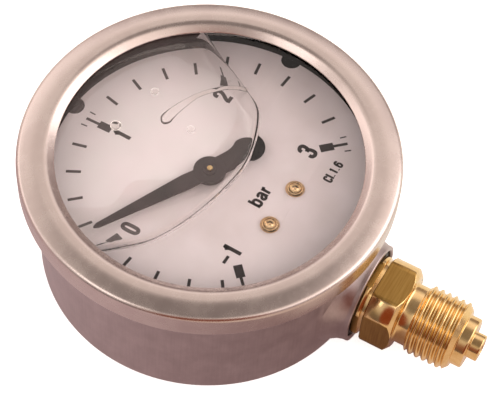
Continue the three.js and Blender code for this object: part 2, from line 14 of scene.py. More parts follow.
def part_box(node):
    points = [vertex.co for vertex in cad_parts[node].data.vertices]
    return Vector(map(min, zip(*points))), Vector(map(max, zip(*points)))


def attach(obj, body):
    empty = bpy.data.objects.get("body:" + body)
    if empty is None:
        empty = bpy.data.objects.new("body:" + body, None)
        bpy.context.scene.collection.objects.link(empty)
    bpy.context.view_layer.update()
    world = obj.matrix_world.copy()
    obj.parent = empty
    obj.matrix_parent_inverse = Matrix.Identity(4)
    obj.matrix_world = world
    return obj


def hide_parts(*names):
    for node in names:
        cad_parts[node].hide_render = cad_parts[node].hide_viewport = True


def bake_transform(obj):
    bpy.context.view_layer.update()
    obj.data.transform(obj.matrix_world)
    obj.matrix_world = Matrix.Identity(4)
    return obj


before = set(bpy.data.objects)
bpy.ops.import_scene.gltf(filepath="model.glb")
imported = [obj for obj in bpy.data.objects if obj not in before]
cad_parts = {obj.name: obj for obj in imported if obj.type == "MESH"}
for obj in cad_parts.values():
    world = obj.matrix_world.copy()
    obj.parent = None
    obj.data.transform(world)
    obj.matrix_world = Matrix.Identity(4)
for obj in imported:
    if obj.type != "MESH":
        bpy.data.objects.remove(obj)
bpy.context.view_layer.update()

MM = 0.001

# ---------- dimensions, in millimetres ----------

CASE_R = 31.2
CASE_INNER_R = 30.4
FLANGE_R = 32.9
NECK_R = 9.45
NECK_BORE_R = 8.55
NECK_END = 33.8
# The neck's flare into the wall: (radius, distance from the dial axis).
NECK_FLARE = [(12.45, 20), (12.45, 27.4), (11.9, 28.7), (11.1, 29.9), (10.35, 30.9), (9.8, 31.8), (9.5, 32.8)]
PLUG_Z = 13

WINDOW_R = 31.2
WINDOW_LOW = 27.0
WINDOW_TOP = 28.6

STEM_Z = 9.5
FLAT = 7.0
CORNER_R = 8.1
COLLAR_CORNER_R = 7.6
SHANK_R = 6.75
SHANK_FROM = 28.0
SHANK_CUT = 28.4
COLLAR_FROM = 33.5
COLLAR_TO = 34.6
GROOVE_R = 6.9
SQUARE_FROM = 35.3
SQUARE_TO = 41.0
UNDERCUT_R = 5.7
THREAD_R = 6.5785
THREAD_ROOT_R = 5.7225
THREAD_FILL_R = 6.02
THREAD_PITCH = 1.337
THREAD_FROM = 43.3
THREAD_TO = 51.9
NOSE_R = 4.75
NOSE_TO = 54.0
SPIGOT_R = 2.5
SPIGOT_TO = 56.0
PORT_R = 1.25

TUBE_R = 21.5
TUBE_ROOT = 247
TUBE_TIP = -10

DIAL_R = 29.1
DIAL_LOW = 21.1
DIAL_TOP = 21.5
DIAL_TURN = math.radians(-1.8)
SCREW_X = 4.43
SCREW_Y = -15.0

PRINT_TOP = 21.53
FIGURE_HEIGHT = 3.85
FIGURE_PEN = 0.74
MINUS_PEN = 0.56
TICK_WIDTH = 0.56
BLOCK_WIDTH = 1.6
BLOCK_TAIL_WIDTH = 0.55
LIMIT_TICK_WIDTH = 0.25

POINTER_LOW = 23.0
POINTER_TOP = 23.4
POINTER_REST = math.radians(61.2)
PADDLE_R = 3.1
PADDLE_Y = -8.0

SEGMENTS = 192


# ---------- mesh helpers ----------

def rounded(points, radius, closed=False, steps=4):
    """Rounds the corners of a polyline. Radius is one number for all corners or one for each."""
    count = len(points)
    radii = radius if isinstance(radius, (list, tuple)) else [radius] * count
    smooth = []
    for i, corner in enumerate(points):
        corner = Vector(corner)
        is_end = not closed and i in (0, count - 1)
        if is_end or radii[i] <= 0:
            smooth.append(tuple(corner))
            continue
        before = Vector(points[i - 1]) - corner
        after = Vector(points[(i + 1) % count]) - corner
        reach = min(radii[i], before.length * 0.48, after.length * 0.48)
        start = corner + before.normalized() * reach
        end = corner + after.normalized() * reach
        for step in range(steps + 1):
            t = step / steps
            smooth.append(tuple(start * (1 - t) ** 2 + corner * 2 * t * (1 - t) + end * t * t))
    return smooth


def spline(points, steps, closed=True):
    """A Catmull-Rom curve through the points."""
    count = len(points)
    curve = []
    for i in range(count if closed else count - 1):
        around = [i - 1, i, i + 1, i + 2]
        if closed:
            around = [k % count for k in around]
        else:
            around = [min(max(k, 0), count - 1) for k in around]
        a, b, c, d = (Vector(points[k]) for k in around)
        for step in range(steps):
            t = step / steps
            curve.append(tuple(0.5 * (
                2 * b + (c - a) * t + (2 * a - 5 * b + 4 * c - d) * t * t
                + (3 * b - a - 3 * c + d) * t ** 3
            )))
    if not closed:
        curve.append(tuple(points[-1]))
    return curve


def spun(points, angle):
    """Points in a plane, turned anticlockwise about its origin."""
    cos, sin = math.cos(angle), math.sin(angle)
    return [(x * cos - y * sin, x * sin + y * cos) for x, y in points]


def circle(x, y, radius, count=48):
    angles = [2 * math.pi * i / count for i in range(count)]
    return [(x + radius * math.cos(angle), y + radius * math.sin(angle)) for angle in angles]


def revolved(profile, closed=False, segments=SEGMENTS):
    """Vertices and faces of a profile of (radius, height), outside going up, turned about +Z."""
    vertices, rows, faces = [], [], []
    for radius, height in profile:
        if radius < 1e-6:
            rows.append([len(vertices)] * segments)
            vertices.append((0.0, 0.0, height))
            continue
        rows.append(list(range(len(vertices), len(vertices) + segments)))
        vertices += [(x, y, height) for x, y in circle(0, 0, radius, segments)]
    above = rows[1:] + rows[:1] if closed else rows[1:]
    for low, high in zip(rows, above):
        for i in range(segments):
            j = (i + 1) % segments
            face = list(dict.fromkeys((low[i], low[j], high[j], high[i])))
            if len(face) > 2:
                faces.append(face)
    return vertices, faces


def along_stem(shape):
    """Lays a shape modelled about +Z along the stem: its height becomes the way out, -Y."""
    vertices, faces = shape
    return [(x, -z, y + STEM_Z) for x, y, z in vertices], faces


def along_plug(shape):
    """Lays a shape modelled about +Z along +Y at the fill plug's height."""
    vertices, faces = shape
    return [(x, z, PLUG_Z - y) for x, y, z in vertices], faces


def shifted(shape, x, y):
    vertices, faces = shape
    return [(a + x, b + y, c) for a, b, c in vertices], faces


def merged(shapes):
    """Several shapes as the islands of one mesh."""
    vertices, faces = [], []
    for more_vertices, more_faces in shapes:
        offset = len(vertices)
        vertices += more_vertices
        faces += [[index + offset for index in face] for face in more_faces]
    return vertices, faces


def lofted(rings, looped=False):
    """A solid through rings of equally many points: capped at its ends, or joined end to end."""
    count = len(rings[0])
    vertices = [point for ring in rings for point in ring]
    faces = []
    for row in range(len(rings) if looped else len(rings) - 1):
        low, high = row * count, (row + 1) % len(rings) * count
        for i in range(count):
            j = (i + 1) % count
            faces.append([low + i, low + j, high + j, high + i])
    if not looped:
        last = (len(rings) - 1) * count
        faces = [list(range(count))[::-1], *faces, [last + i for i in range(count)]]
    return vertices, faces


def prism(points, low, high):
    """A flat outline, listed anticlockwise, given thickness."""
    return lofted([[(x, y, low) for x, y in points], [(x, y, high) for x, y in points]])


def linked(name, data):
    """A new object in the scene for a mesh, curve, light or camera."""
    made = bpy.data.objects.new(name, data)
    bpy.context.scene.collection.objects.link(made)
    return made


def smooth_by_angle(mesh, degrees):
    mesh.polygons.foreach_set("use_smooth", [True] * len(mesh.polygons))
    mesh.set_sharp_from_angle(angle=math.radians(degrees))


def weld(mesh, distance, sharp):
    """Merges corners that meet, turns the faces outward and smooths all but the sharp edges."""
    work = bmesh.new()
    work.from_mesh(mesh)
    bmesh.ops.remove_doubles(work, verts=work.verts, dist=distance)
    bmesh.ops.recalc_face_normals(work, faces=work.faces)
    work.to_mesh(mesh)
    work.free()
    smooth_by_angle(mesh, sharp)


def build(name, shape, sharp=30):
    """A mesh object in metres from a shape in millimetres."""
    vertices, faces = shape
    mesh = bpy.data.meshes.new(name)
    mesh.from_pydata([(x * MM, y * MM, z * MM) for x, y, z in vertices], [], faces)
    weld(mesh, 2e-7, sharp)
    return linked(name, mesh)


def evaluated(source):
    """The mesh of an object with its modifiers or its curve settings applied."""
    bpy.context.view_layer.update()
    seen = source.evaluated_get(bpy.context.evaluated_depsgraph_get())
    return bpy.data.meshes.new_from_object(seen)


def combine(target, operation, *tools, sharp=30):
    """Joins or cuts the target with other solids, which are used up."""
    for tool in tools:
        modifier = target.modifiers.new("combine", "BOOLEAN")
        modifier.operation = operation
        modifier.solver = "EXACT"
        modifier.object = tool
        mesh = evaluated(target)
        mesh.name = target.name
        target.modifiers.clear()
        target.data = mesh
        bpy.data.objects.remove(tool)
    smooth_by_angle(target.data, sharp)


def plate(name, outlines, low, high, bevel):
    """A flat part cut from sheet: the first outline is its edge, the others are holes."""
    curve = bpy.data.curves.new(name, "CURVE")
    curve.dimensions = "2D"
    curve.fill_mode = "BOTH"
    curve.extrude = ((high - low) / 2 - bevel) * MM
    curve.bevel_depth = bevel * MM
    curve.bevel_resolution = 2
    curve.offset = -bevel * MM
    for points in outlines:
        line = curve.splines.new("POLY")
        line.points.add(len(points) - 1)
        line.points.foreach_set("co", [c for x, y in points for c in (x * MM, y * MM, 0, 1)])
        line.use_cyclic_u = True
    shape = linked(name, curve)
    mesh = evaluated(shape)
    bpy.data.objects.remove(shape)
    mesh.transform(Matrix.Translation((0, 0, (low + high) / 2 * MM)))
    weld(mesh, 2e-6, 35)
    mesh.name = name
    return linked(name, mesh)


def finish_piece(piece, body, slot, material, *replaced):
    """Gives a piece its material and its body and hides the CAD nodes it stands for; the slot is not used."""
    piece.data.materials.clear()
    piece.data.materials.append(material)
    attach(piece, body)
    if replaced:
        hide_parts(*replaced)


def add_piece(name, shape, body, slot, material, *replaced, sharp=30):
    piece = build(name, shape, sharp)
    finish_piece(piece, body, slot, material, *replaced)
    return piece


# ---------- material helpers ----------

class Nodes:
    """The node tree of a material or a world, written as nested calls."""

    def __init__(self, owner):
        owner.use_nodes = True
        self.tree = owner.node_tree
        self.tree.nodes.clear()

    def node(self, kind, inputs=None, **settings):
        made = self.tree.nodes.new(kind)
        for key, value in settings.items():
            setattr(made, key, value)
        for key, value in (inputs or {}).items():
            if isinstance(value, bpy.types.NodeSocket):
                self.tree.links.new(value, made.inputs[key])
            else:
                made.inputs[key].default_value = value
        return made

    def maths(self, operation, first, second=0.0):
        return self.node("ShaderNodeMath", {0: first, 1: second}, operation=operation).outputs[0]

    def plus(self, first, second, share=1.0):
        """The first value and a share of the second."""
        return self.maths("ADD", first, self.maths("MULTIPLY", second, share))

    def vector(self, operation, first, second):
        """Vector maths; the result is a dot product's number or another operation's vector."""
        made = self.node("ShaderNodeVectorMath", {0: first, 1: second}, operation=operation)
        return made.outputs["Value" if operation == "DOT_PRODUCT" else "Vector"]

    def parts(self, vector):
        """The X, Y and Z of a vector."""
        return self.node("ShaderNodeSeparateXYZ", {0: vector}).outputs

    def range(self, value, low, high, start=0.0, end=1.0):
        """Maps low..high of a value to start..end, clamped."""
        return self.node("ShaderNodeMapRange", {0: value, 1: low, 2: high, 3: start, 4: end}).outputs[0]

    def colours(self, value, first, second):
        """A mix by a value of two colours, each written as three numbers or taken from a node."""
        first, second = (c if isinstance(c, bpy.types.NodeSocket) else (*c, 1) for c in (first, second))
        return self.node("ShaderNodeMix", {0: value, 6: first, 7: second}, data_type="RGBA").outputs[2]

    def mixed(self, share, first, second):
        """A mix of two shaders."""
        return self.node("ShaderNodeMixShader", {0: share, 1: first, 2: second}).outputs[0]


class Finish(Nodes):
    """One material."""

    def __init__(self, name):
        self.material = bpy.data.materials.new(name)
        super().__init__(self.material)
        self.place = self.node("ShaderNodeTexCoord").outputs["Object"]

    def noise(self, size, where=None, detail=3.0, roughness=0.55):
        """Noise whose patches are about size millimetres across."""
        inputs = {"Vector": where or self.place, "Scale": 1 / (size * MM), "Detail": detail,
                  "Roughness": roughness}
        return self.node("ShaderNodeTexNoise", inputs).outputs["Fac"]

    def stretched(self, x, y, z):
        """Object coordinates with each axis scaled."""
        return self.vector("MULTIPLY", self.place, (x, y, z))

    def distance(self, first, second):
        """The length of the flat vector with these two parts."""
        flat = self.node("ShaderNodeCombineXYZ", {0: first, 1: second}).outputs[0]
        return self.node("ShaderNodeVectorMath", {0: flat}, operation="LENGTH").outputs["Value"]

    def about_dial(self):
        """(distance from the dial axis, 0, height): rings for lathe-turned and rolled faces."""
        x, y, z = self.parts(self.place)
        return self.node("ShaderNodeCombineXYZ", {0: self.distance(x, y), 2: z}).outputs[0]

    def about_stem(self):
        """(distance from the stem axis, distance out, 0): rings for the socket's turned faces."""
        x, y, z = self.parts(self.place)
        height = self.maths("SUBTRACT", z, STEM_Z * MM)
        return self.node("ShaderNodeCombineXYZ", {0: self.distance(x, height), 1: y}).outputs[0]

    def painted_shade_inside(self):
        """1 on the cup's inner wall and floor, where the unpolished steel gets painted shade."""
        x, y, z = self.parts(self.place)
        within = self.maths("LESS_THAN", self.distance(x, y), (CASE_INNER_R + 0.2) * MM)
        return self.maths("MULTIPLY", within, self.maths("GREATER_THAN", z, 0.5 * MM))

    def on_flats(self):
        """1 on the faces that look straight along X or Z, as the flats cut by the mill do, and 0 elsewhere.
        """
        x, y, z = self.parts(self.node("ShaderNodeNewGeometry").outputs["True Normal"])
        across = self.maths("MAXIMUM", self.maths("ABSOLUTE", x), self.maths("ABSOLUTE", z))
        return self.range(across, 0.9993, 0.9998)

    def upright(self):
        """How squarely the surface looks up or down: 1 where it is level, 0 where it stands."""
        facing = self.node("ShaderNodeNewGeometry").outputs["Normal"]
        return self.maths("ABSOLUTE", self.parts(facing)[2])

    def bump(self, height, depth, before=None):
        """A bump whose full height is depth millimetres."""
        inputs = {"Height": height, "Distance": depth * MM}
        if before:
            inputs["Normal"] = before
        return self.node("ShaderNodeBump", inputs).outputs[0]

    def principled(self, **inputs):
        named = {key.replace("_", " "): value for key, value in inputs.items()}
        return self.done(self.node("ShaderNodeBsdfPrincipled", named).outputs[0])

    def metal(self, base, roughness, shape):
        return self.principled(Base_Color=base, Metallic=1.0, Roughness=roughness, Normal=shape)

    def done(self, surface):
        self.node("ShaderNodeOutputMaterial", {"Surface": surface})
        return self.material


# ---------- materials ----------

def satin_steel():
    """The bezel's pressed steel, satin by hand: soft mottling, faint rings and fine grain."""
    finish = Finish("satin bezel steel")
    cloud = finish.noise(4.0, detail=4)
    rings = finish.noise(0.12, finish.about_dial(), detail=2)
    grain = finish.noise(0.16, detail=2)
    tone = finish.plus(finish.maths("MULTIPLY", cloud, 0.75), rings, 0.25)
    base = finish.colours(finish.range(tone, 0.35, 0.65), (0.66, 0.57, 0.53), (0.74, 0.65, 0.60))
    roughness = finish.range(finish.plus(cloud, grain, 0.4), 0.4, 1.0, 0.21, 0.32)
    shape = finish.bump(rings, 0.004)
    shape = finish.bump(grain, 0.001, before=shape)
    shape = finish.bump(cloud, 0.012, before=shape)
    return finish.metal(base, roughness, shape)


def drawn_steel():
    """The cup's deep-drawn wall: satin with faint lines along the draw and a few scuffs, and painted shade
    inside the cup.
    """
    finish = Finish("drawn case steel")
    lines = finish.noise(0.35, finish.stretched(1, 1, 0.04), detail=3)
    cloud = finish.noise(3.5, detail=4)
    scuffs = finish.noise(0.8, finish.stretched(1, 1, 3), detail=5, roughness=0.7)
    tone = finish.plus(finish.maths("MULTIPLY", lines, 0.25), cloud, 0.75)
    base = finish.colours(finish.range(tone, 0.35, 0.65), (0.47, 0.395, 0.385), (0.595, 0.51, 0.50))
    # Painted shade: the inner wall and floor are painted near black, as if in shadow.
    base = finish.colours(finish.painted_shade_inside(), base, (0.05, 0.036, 0.034))
    roughness = finish.range(finish.plus(cloud, scuffs, 0.5), 0.5, 1.0, 0.30, 0.46)
    shape = finish.bump(lines, 0.003)
    shape = finish.bump(finish.noise(0.15, detail=2), 0.004, before=shape)
    return finish.metal(base, roughness, shape)


def turned_brass():
    """Free-cutting brass: tool rings about the stem, milling lines on the flats, light tarnish, and the flats
    painted darker as a painted reflection of dark surroundings.
    """
    finish = Finish("turned brass")
    rings = finish.noise(0.09, finish.about_stem(), detail=2)
    flat = finish.on_flats()
    milling = finish.maths("MULTIPLY", finish.noise(0.3, finish.stretched(0.05, 1, 0.05)), flat)
    tarnish = finish.noise(2.2, detail=5, roughness=0.6)
    turned = finish.colours(finish.range(finish.plus(tarnish, milling, 0.2), 0.36, 0.70),
                            (0.82, 0.55, 0.23), (0.96, 0.71, 0.36))
    # Painted reflection: the flats are painted dark brown in place of the dark they mirror; the milling lines
    # vary it.
    flats_painted_dark = finish.colours(finish.range(milling, 0.35, 0.65), (0.40, 0.23, 0.06), (0.50, 0.31, 0.09))
    base = finish.colours(flat, turned, flats_painted_dark)
    roughness = finish.range(finish.plus(tarnish, milling, 0.5), 0.5, 1.0, 0.15, 0.28)
    shape = finish.bump(rings, 0.0025)
    shape = finish.bump(milling, 0.004, before=shape)
    return finish.metal(base, finish.plus(roughness, flat, 0.12), shape)


def sheet_metal(name, dark, light, rough, size=0.5):
    """Small movement parts: rolled stock with a directional grain and light staining."""
    finish = Finish(name)
    grain = finish.noise(size * 0.25, finish.stretched(0.12, 1, 1))
    stain = finish.noise(size * 4, detail=4)
    tone = finish.plus(finish.maths("MULTIPLY", grain, 0.4), stain, 0.6)
    base = finish.colours(finish.range(tone, 0.36, 0.64), dark, light)
    roughness = finish.range(stain, 0.35, 0.7, rough - 0.05, rough + 0.1)
    return finish.metal(base, roughness, finish.bump(grain, 0.008))


def moulded_rubber():
    """Black rubber with a fine grain and a grey bloom."""
    finish = Finish("moulded rubber")
    bloom = finish.noise(1.6, detail=4)
    grain = finish.noise(0.12, detail=2)
    base = finish.colours(finish.range(bloom, 0.35, 0.7), (0.016, 0.011, 0.010), (0.040, 0.028, 0.026))
    roughness = finish.range(grain, 0.3, 0.7, 0.42, 0.66)
    return finish.principled(Base_Color=base, Roughness=roughness, Normal=finish.bump(grain, 0.012))


def dial_lacquer():
    """Stoved white lacquer: an even, slightly warm white with faint orange peel."""
    finish = Finish("white dial lacquer")
    cloud = finish.noise(9.0)
    peel = finish.noise(0.9, detail=2)
    base = finish.colours(finish.range(cloud, 0.3, 0.7), (0.80, 0.735, 0.74), (0.85, 0.79, 0.795))
    roughness = finish.range(peel, 0.3, 0.7, 0.42, 0.52)
    return finish.principled(Base_Color=base, Roughness=roughness, Normal=finish.bump(peel, 0.004))


def printing_ink():
    """Black ink, a little thinner in places."""
    finish = Finish("printing ink")
    density = finish.noise(0.25)
    base = finish.colours(finish.range(density, 0.3, 0.7), (0.022, 0.018, 0.018), (0.050, 0.042, 0.042))
    roughness = finish.range(density, 0.3, 0.7, 0.45, 0.6)
    return finish.principled(Base_Color=base, Roughness=roughness, Specular_IOR_Level=0.2)


def pointer_lacquer():
    """Matt black lacquer with a few pale specks."""
    finish = Finish("matt black lacquer")
    grain = finish.noise(0.10, detail=2)
    dust = finish.noise(0.5, detail=4, roughness=0.7)
    base = finish.colours(finish.range(dust, 0.62, 0.75), (0.012, 0.010, 0.010), (0.050, 0.044, 0.043))
    roughness = finish.range(grain, 0.3, 0.7, 0.38, 0.52)
    return finish.principled(Base_Color=base, Roughness=roughness, Normal=finish.bump(grain, 0.006),
                             Specular_IOR_Level=0.3)


def lit_through(finish, surface, flat_shade, steep_shade):
    """Lets light rays straight through, less of them where the surface slopes."""
    path = finish.node("ShaderNodeLightPath").outputs
    passing = finish.maths("MAXIMUM", path["Is Shadow Ray"], path["Is Diffuse Ray"])
    kept = finish.colours(finish.range(finish.upright(), 0.25, 0.995), steep_shade, flat_shade)
    through = finish.node("ShaderNodeBsdfTransparent", {"Color": kept}).outputs[0]
    return finish.done(finish.mixed(passing, surface, through))


def clear(name, ior, tint, smudge=0.0, fog=0.0, edge=None, flat_shade=(1, 1, 1), steep_shade=(1, 1, 1)):
    """A clear body with a faint smear, a haze of fine droplets if fogged and, if asked, steep edges painted
    dark as painted shade.
    """
    finish = Finish(name)
    film = finish.noise(6.0, detail=4)
    colour = finish.colours(finish.range(film, 0.3, 0.7), tint, (1, 1, 1))
    # If asked, steep faces are painted dark: a painted shade for the light they bend away.
    if edge:
        colour = finish.colours(finish.range(finish.upright(), 0.5, 0.9), edge, colour)
    surface = finish.node("ShaderNodeBsdfGlass", {
        "Color": colour,
        "Roughness": finish.range(film, 0.55, 0.8, 0.0, smudge),
        "IOR": ior,
    }).outputs[0]
    if fog:
        haze = finish.node("ShaderNodeBsdfDiffuse", {"Color": (0.95, 0.66, 0.65, 1)}).outputs[0]
        surface = finish.mixed(finish.range(film, 0.3, 0.7, fog * 0.7, fog * 1.3), surface, haze)
    return lit_through(finish, surface, flat_shade, steep_shade)


def wetted(name, ior, tint, shade):
    """A clear face with liquid against it: it bends light but mirrors nothing."""
    finish = Finish(name)
    film = finish.noise(6.0, detail=4)
    surface = finish.node("ShaderNodeBsdfRefraction", {
        "Color": finish.colours(finish.range(film, 0.3, 0.7), tint, (1, 1, 1)),
        "Roughness": 0.0,
        "IOR": ior,
    }).outputs[0]
    return lit_through(finish, surface, shade, shade)


# ---------- case, bezel and window ----------

def make_case(steel):
    shell = rounded([
        (0, 0), (CASE_R, 0), (CASE_R, 25.4), (FLANGE_R, 25.4), (FLANGE_R, 26.1), (CASE_INNER_R, 26.1),
        (CASE_INNER_R, 0.8), (0, 0.8),
    ], [0, 1.7, 0.35, 0.12, 0.12, 0.12, 1.3, 0], steps=6)
    cup = build("case", revolved(shell))
    neck_profile = [(0, 20)] + NECK_FLARE + rounded(
        [(NECK_R, 33.0), (NECK_R, NECK_END), (NECK_BORE_R - 1, NECK_END)], 0.3)
    neck = build("neck", along_stem(revolved(neck_profile + [(0, NECK_END)], segments=96)))
    under = build("under", prism([(-20, -40), (20, -40), (20, -10), (-20, -10)], -10, 0))
    combine(neck, "DIFFERENCE", under)
    hollow = build("hollow", revolved(rounded(
        [(0, 0.8), (CASE_INNER_R, 0.8), (CASE_INNER_R, 40), (0, 40)], [0, 1.3, 0, 0], steps=6)))
    bore = build("bore", along_stem(revolved(
        [(0, 15), (NECK_BORE_R, 15), (NECK_BORE_R, 33.55), (NECK_BORE_R + 0.5, 34.05), (0, 34.05)],
        segments=96)))
    hole = [(0, 26), (4.7, 26), (4.7, 40), (0, 40)]
    plug_hole = build("plug hole", along_plug(revolved(hole, segments=64)))
    combine(cup, "UNION", neck)
    combine(cup, "DIFFERENCE", hollow, bore, plug_hole, sharp=38)
    finish_piece(cup, "case", "case_steel", steel, "case")


def make_bezel(steel):
    """The crimped ring in section: skirt, corner, top face, rolled lip, and back along the inside."""
    ring = rounded([
        (31.6, 24.5), (33.55, 24.5), (34.0, 25.0), (34.0, 29.5), (32.4, 30.0), (31.0, 30.28),
        (28.8, 30.2), (27.32, 29.05), (27.3, 28.88), (27.9, 28.88), (28.7, 29.45), (32.6, 29.25),
        (33.3, 28.7), (33.3, 25.2), (31.6, 25.2),
    ], [0.2, 0.4, 0.5, 0.95, 0.9, 0.8, 0.6, 0.07, 0.07, 0.2, 0.3, 0.3, 0.3, 0.3, 0.2], closed=True, steps=6)
    shape = revolved(ring, closed=True, segments=256)
    add_piece("bezel_ring", shape, "case", "bezel_steel", steel, "bezel_ring", sharp=50)


def make_window(glass, wet, fogged):
    """The disc; its underside is fogged where the air bubble lies and wetted around it."""
    contact = []
    for x, y, z in bubble_rings()[-1]:
        pull = min(1.0, (WINDOW_R - 0.35) / math.hypot(x, y))
        contact.append((x * pull, y * pull))
    headings = [math.atan2(y - BUBBLE_MIDDLE[1], x - BUBBLE_MIDDLE[0]) for x, y in contact]
    edge = rounded([(WINDOW_R - 1, WINDOW_LOW), (WINDOW_R, WINDOW_LOW), (WINDOW_R, WINDOW_TOP),
                    (WINDOW_R - 1, WINDOW_TOP)], 0.25, steps=3)
    rings = [[(x, y, WINDOW_LOW) for x, y in contact]]
    rings += [[(r * math.cos(a), r * math.sin(a), z) for a in headings] for r, z in edge]
    window = add_piece("window", lofted(rings), "case", "window_glass", glass, "window", sharp=50)
    window.data.materials.append(wet)
    window.data.materials.append(fogged)
    for face in window.data.polygons:
        if face.normal.z < -0.99:
            face.material_index = 2 if len(face.vertices) > 4 else 1


def make_gasket(rubber):
    channel = rounded([
        (29, 26.15), (32.6, 26.15), (32.6, 29.1), (29.4, 29.1), (29.4, 28.9), (31.5, 28.9), (31.5, 26.7),
        (29, 26.7),
    ], [0.15, 0.15, 0.15, 0.08, 0.05, 0.1, 0.1, 0.15], closed=True)
    shape = revolved(channel, closed=True)
    add_piece("window_gasket", shape, "case", "black_rubber", rubber, "window_gasket")


def make_plug(rubber):
    profile = rounded([
        (0, 28.2), (5.2, 28.2), (5.6, 28.6), (5.6, 29.4), (4.4, 29.5), (4.4, 31.3), (5.9, 31.3), (5.9, 32.1),
        (5.2, 32.7), (0, 32.8),
    ], 0.3)
    shape = along_plug(revolved(profile, segments=96))
    add_piece("fill_plug", shape, "case", "black_rubber", rubber, "fill_plug")


# ---------- socket ----------

def square_row(along, corner_radius, columns=12):
    """One ring of points round the stem: a square bar turned down to corner_radius."""
    turn = math.acos(FLAT / (corner_radius if corner_radius > FLAT + 0.01 else CORNER_R))
    across = [-turn + 2 * turn * i / columns for i in range(columns)]
    corner = [turn + (math.pi / 2 - 2 * turn) * i / columns for i in range(columns)]
    points = []
    for quarter in range(4):
        middle = quarter * math.pi / 2
        for angle in across + corner:
            radius = min(corner_radius, FLAT / math.cos(angle))
            points.append((radius * math.cos(middle + angle), radius * math.sin(middle + angle), along))
    return points


def thread_radius(along, angle):
    """The Whitworth form's height at a point: rounded crests and roots on one helix."""
    phase = ((along - THREAD_FROM) / THREAD_PITCH - angle / (2 * math.pi)) % 1.0
    climb = 1 - abs(2 * phase - 1)
    blend = 0.42  # the share of a flank's climb that each rounding takes
    if climb < blend:
        climb = climb * climb / (2 * blend)
    elif climb > 1 - blend:
        climb = 1 - blend - (1 - climb) ** 2 / (2 * blend)
    else:
        climb -= blend / 2
    form = THREAD_FILL_R + (THREAD_R - THREAD_FILL_R) * climb / (1 - blend)
    lead_in = UNDERCUT_R + (along - THREAD_FROM) * 1.6
    end_root = THREAD_ROOT_R - 0.25
    lead_out = end_root + (THREAD_TO - along) * 1.1
    return min(form, max(lead_in, UNDERCUT_R), max(lead_out, end_root))


def round_rows(points):
    return [square_row(along, radius) for radius, along in points]


def bar_rows(start, end, corner, near_chamfer, far_chamfer):
    """A length of the square bar with its corners chamfered in the lathe at both ends."""
    steepness = 0.85
    rows = []
    for share in (0.0, 0.5, 1.0):
        along = start + near_chamfer * steepness * share
        rows.append(square_row(along, corner - near_chamfer * (1 - share)))
    for share in (1.0, 0.75, 0.5, 0.25, 0.0):
        along = end - far_chamfer * steepness * share
        rows.append(square_row(along, corner - far_chamfer * (1 - share)))
    return rows


def thread_rows(steps=250):
    rows = []
    for i in range(steps + 1):
        along = THREAD_FROM + (THREAD_TO - THREAD_FROM) * i / steps
        angles = [math.atan2(y, x) for x, y, z in square_row(along, UNDERCUT_R)]
        radii = [thread_radius(along, angle) for angle in angles]
        rows.append([(r * math.cos(a), r * math.sin(a), along) for r, a in zip(radii, angles)])
    return rows


def socket_rings():
    """The outside of the socket from inside the neck to the spigot, then down its bore."""
    rows = round_rows([(SHANK_R, SHANK_FROM), (SHANK_R, 29.5), (SHANK_R, 33.0), (SHANK_R, COLLAR_FROM)])
    rows += bar_rows(COLLAR_FROM, COLLAR_TO, COLLAR_CORNER_R, 0.15, 0.12)
    rows += round_rows([(GROOVE_R, COLLAR_TO), (GROOVE_R, SQUARE_FROM)])
    rows += bar_rows(SQUARE_FROM, SQUARE_TO, CORNER_R, 0.3, 1.05)
    rows += round_rows([(UNDERCUT_R + 0.5, SQUARE_TO), (UNDERCUT_R + 0.15, SQUARE_TO + 0.15),
                        (UNDERCUT_R, SQUARE_TO + 0.5), (UNDERCUT_R, THREAD_FROM - 0.1)])
    rows += thread_rows()
    return rows + round_rows(rounded([
        (NOSE_R + 0.2, THREAD_TO), (NOSE_R, THREAD_TO + 0.15), (NOSE_R, NOSE_TO), (SPIGOT_R, NOSE_TO),
        (SPIGOT_R, SPIGOT_TO), (PORT_R, SPIGOT_TO), (PORT_R, 51),
    ], [0, 0.1, 0.42, 0.15, 0.3, 0.18, 0]))


def make_socket(brass):
    """The turned outside joined to the CAD socket's inner block, which is cut off inside the neck."""
    outer = build("socket", along_stem(lofted(socket_rings())))
    inner_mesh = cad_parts["socket"].data.copy()
    work = bmesh.new()
    work.from_mesh(inner_mesh)
    bmesh.ops.remove_doubles(work, verts=work.verts, dist=2e-6)
    everything = work.verts[:] + work.edges[:] + work.faces[:]
    cut = bmesh.ops.bisect_plane(work, geom=everything, dist=1e-7, plane_co=(0, -SHANK_CUT * MM, 0),
                                 plane_no=(0, -1, 0), clear_outer=True)
    rim = [edge for edge in cut["geom_cut"] if isinstance(edge, bmesh.types.BMEdge)]
    bmesh.ops.contextual_create(work, geom=rim)
    bmesh.ops.recalc_face_normals(work, faces=work.faces)
    work.to_mesh(inner_mesh)
    work.free()
    combine(outer, "UNION", linked("block", inner_mesh), sharp=38)
    finish_piece(outer, "case", "socket_brass", brass, "socket")


def make_socket_seal(rubber):
    profile = rounded([(6.85, 29.6), (8.43, 29.6), (8.43, 33.3), (6.85, 33.3)], 0.35, closed=True)
    shape = along_stem(revolved(profile, closed=True, segments=96))
    add_piece("socket_seal", shape, "case", "black_rubber", rubber, "socket_seal")


# ---------- bourdon tube ----------

def oval(height, thick, count=12):
    """The flattened tube's section, its long axis along the gauge's depth."""
    reach = (height - thick) / 2
    upper = [(thick / 2 * math.cos(a), reach + thick / 2 * math.sin(a))
             for a in (math.pi * i / count for i in range(count + 1))]
    lower = [(-x, -y) for x, y in upper]
    return upper + lower


